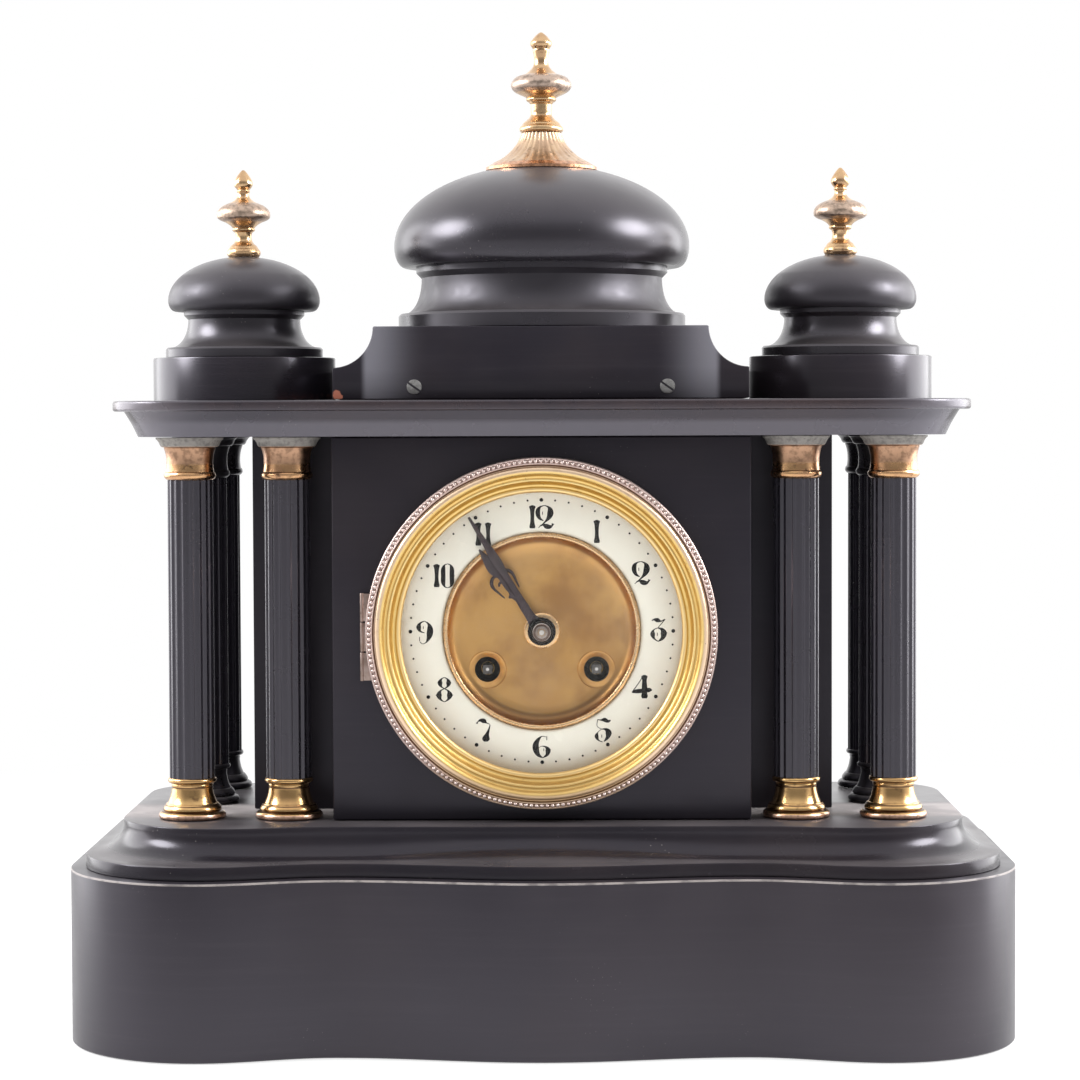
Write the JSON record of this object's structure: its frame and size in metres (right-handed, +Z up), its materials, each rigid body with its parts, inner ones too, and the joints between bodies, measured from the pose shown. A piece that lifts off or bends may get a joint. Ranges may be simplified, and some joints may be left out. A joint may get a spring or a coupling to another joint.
{
  "type": "mantel clock",
  "caption": "Black portico mantel clock with a serpentine base, fluted columns, turned domes with gilt finials, and a brass-bezel enamel dial over a striking movement.",
  "frame": {"origin": "centre of the base's footprint, on the surface it stands on", "axes": "+Z up, front of the dial towards -Y, +X to the right seen from the front"},
  "size_m": [0.3776, 0.19, 0.4066],
  "materials": {
    "black_marble": "polished",
    "gilt_brass": "polished, worn",
    "bezel_brass": "polished",
    "aged_brass": "aged satin",
    "white_enamel": "gloss enamel",
    "dark_steel": "blued, darkened",
    "bright_steel": "plain",
    "bell_metal": "turned",
    "clear_glass": "clear"
  },
  "bodies": {
    "case": {"attic_block": "black_marble", "back_plate": "aged_brass", "back_ring": "gilt_brass", "base_moulding": "black_marble", "base_plinth": "black_marble", "bell": "bell_metal", "case_body": "black_marble", "case_front": "black_marble", "chapter_ring": "white_enamel", "cornice": "black_marble", "dial_pan": "aged_brass", "dome": "black_marble", "dome_finial": "gilt_brass", "dome_skirt": "gilt_brass", "front_plate": "aged_brass", "left_dome": "black_marble", "left_drum": "black_marble", "left_finial": "gilt_brass", "left_front_base": "gilt_brass", "left_front_capital": "gilt_brass", "left_front_shaft": "black_marble", "left_inner_base": "gilt_brass", "left_inner_capital": "gilt_brass", "left_inner_shaft": "black_marble", "left_middle_base": "black_marble", "left_middle_capital": "black_marble", "left_middle_shaft": "black_marble", "left_rear_base": "black_marble", "left_rear_capital": "black_marble", "left_rear_shaft": "black_marble", "right_dome": "black_marble", "right_drum": "black_marble", "right_finial": "gilt_brass", "right_front_base": "gilt_brass", "right_front_capital": "gilt_brass", "right_front_shaft": "black_marble", "right_inner_base": "gilt_brass", "right_inner_capital": "gilt_brass", "right_inner_shaft": "black_marble", "right_middle_base": "black_marble", "right_middle_capital": "black_marble", "right_middle_shaft": "black_marble", "right_rear_base": "black_marble", "right_rear_capital": "black_marble", "right_rear_shaft": "black_marble"},
    "bezel": {"bezel_ring": "bezel_brass", "bezel_glass": "clear_glass"},
    "minute": {"minute_hand": "dark_steel", "hand_nut": "bright_steel", "centre_wheel": "aged_brass"},
    "hour": {"hour_hand": "dark_steel"},
    "going_barrel": {"going_barrel": "aged_brass"},
    "strike_barrel": {"strike_barrel": "aged_brass"},
    "going_arbor": {"going_arbor": "bright_steel"},
    "strike_arbor": {"strike_arbor": "bright_steel"},
    "escape": {"escape_wheel": "aged_brass"},
    "anchor": {"anchor": "bright_steel"},
    "pendulum": {"pendulum": "bell_metal"},
    "hammer": {"hammer": "bright_steel"},
    "back_door": {"back_door": "gilt_brass"}
  },
  "joints": [
    {"name": "bezel_hinge", "type": "hinge", "parent": "case", "child": "bezel", "pos_m": [-0.071, -0.05405, 0.1628], "axis": [0, 0, -1], "range_deg": [0, 105]},
    {"name": "minute_turn", "type": "hinge", "parent": "case", "child": "minute", "pos_m": [0, -0.052, 0.1628], "axis": [0, 1, 0], "continuous": true},
    {"name": "hour_turn", "type": "hinge", "parent": "case", "child": "hour", "pos_m": [0, -0.052, 0.1628], "axis": [0, 1, 0], "continuous": true},
    {"name": "going_barrel_turn", "type": "hinge", "parent": "case", "child": "going_barrel", "pos_m": [0.0218, -0.052, 0.1473], "axis": [0, 1, 0], "continuous": true},
    {"name": "strike_barrel_turn", "type": "hinge", "parent": "case", "child": "strike_barrel", "pos_m": [-0.0218, -0.052, 0.1473], "axis": [0, 1, 0], "continuous": true},
    {"name": "going_winding", "type": "hinge", "parent": "case", "child": "going_arbor", "pos_m": [0.0218, -0.052, 0.1473], "axis": [0, 1, 0], "continuous": true},
    {"name": "strike_winding", "type": "hinge", "parent": "case", "child": "strike_arbor", "pos_m": [-0.0218, -0.052, 0.1473], "axis": [0, 1, 0], "continuous": true},
    {"name": "escape_turn", "type": "hinge", "parent": "case", "child": "escape", "pos_m": [0, -0.052, 0.1891], "axis": [0, 1, 0], "continuous": true},
    {"name": "pendulum_swing", "type": "hinge", "parent": "case", "child": "pendulum", "pos_m": [0, 0.0116, 0.2016], "axis": [0, 1, 0], "range_deg": [-4, 4]},
    {"name": "anchor_rock", "type": "hinge", "parent": "case", "child": "anchor", "pos_m": [0, 0.0116, 0.2016], "axis": [0, 1, 0], "range_deg": [-4, 4]},
    {"name": "hammer_lift", "type": "hinge", "parent": "case", "child": "hammer", "pos_m": [-0.034, -0.052, 0.1328], "axis": [0, -1, 0], "range_deg": [0, 14]},
    {"name": "back_door_hinge", "type": "hinge", "parent": "case", "child": "back_door", "pos_m": [0.0625, 0.07205, 0.1628], "axis": [0, 0, -1], "range_deg": [0, 110]}
  ],
  "couplings": [
    {"joint": "hour_turn", "follows": "minute_turn", "ratio": 0.083333},
    {"joint": "going_barrel_turn", "follows": "minute_turn", "ratio": -0.32143},
    {"joint": "escape_turn", "follows": "minute_turn", "ratio": -4.6667},
    {"joint": "anchor_rock", "follows": "pendulum_swing", "ratio": 1}
  ]
}
